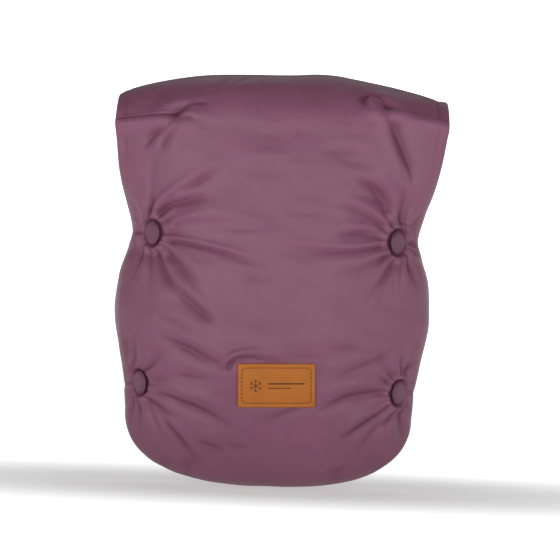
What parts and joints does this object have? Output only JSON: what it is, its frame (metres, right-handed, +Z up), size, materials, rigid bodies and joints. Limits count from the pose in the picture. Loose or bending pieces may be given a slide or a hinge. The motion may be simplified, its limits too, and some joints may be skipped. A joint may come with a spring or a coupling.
{
  "type": "hand warmer muff",
  "caption": "Quilted hand warmer muff that wraps a pushchair handlebar: open sides for the hands, tufted front, back flap closed with press studs.",
  "frame": {"origin": "centre of the handlebar channel, 365 mm above the bottom seam", "axes": "+Z up, the tufted front faces -Y, +X along the handlebar to the viewer's right"},
  "size_m": [0.348, 0.1397, 0.4303],
  "materials": {
    "outer_fabric": "satin",
    "lining_plush": "matte",
    "wadding": "matte",
    "label_leather": "matte",
    "care_satin": "satin",
    "thread": "matte",
    "button_plastic": "satin",
    "stud_metal": "satin"
  },
  "bodies": {
    "muff": {"front_shell": "outer_fabric", "front_wadding": "wadding", "front_lining": "lining_plush", "back_shell": "outer_fabric", "back_wadding": "wadding", "back_lining": "lining_plush", "button_cover_upper_left": "outer_fabric", "button_plate_upper_left": "stud_metal", "tuft_thread_upper_left": "thread", "anchor_button_upper_left": "button_plastic", "button_cover_upper_right": "outer_fabric", "button_plate_upper_right": "stud_metal", "tuft_thread_upper_right": "thread", "anchor_button_upper_right": "button_plastic", "button_cover_lower_left": "outer_fabric", "button_plate_lower_left": "stud_metal", "tuft_thread_lower_left": "thread", "anchor_button_lower_left": "button_plastic", "button_cover_lower_right": "outer_fabric", "button_plate_lower_right": "stud_metal", "tuft_thread_lower_right": "thread", "anchor_button_lower_right": "button_plastic", "snap_stud_1": "stud_metal", "snap_post_1": "stud_metal", "snap_stud_2": "stud_metal", "snap_post_2": "stud_metal", "snap_stud_3": "stud_metal", "snap_post_3": "stud_metal", "snap_stud_4": "stud_metal", "snap_post_4": "stud_metal", "front_label": "label_leather", "care_label": "care_satin"},
    "back_flap": {"flap_shell": "outer_fabric", "flap_wadding": "wadding", "flap_lining": "lining_plush", "snap_cap_1": "stud_metal", "snap_cap_2": "stud_metal", "snap_cap_3": "stud_metal", "snap_cap_4": "stud_metal", "snap_socket_1": "stud_metal", "snap_socket_2": "stud_metal", "snap_socket_3": "stud_metal", "snap_socket_4": "stud_metal"}
  },
  "joints": [
    {"name": "flap_hinge", "type": "hinge", "parent": "muff", "child": "back_flap", "pos_m": [0, 0.0428, 0.0216], "axis": [1, 0, 0], "range_deg": [0, 140]}
  ]
}
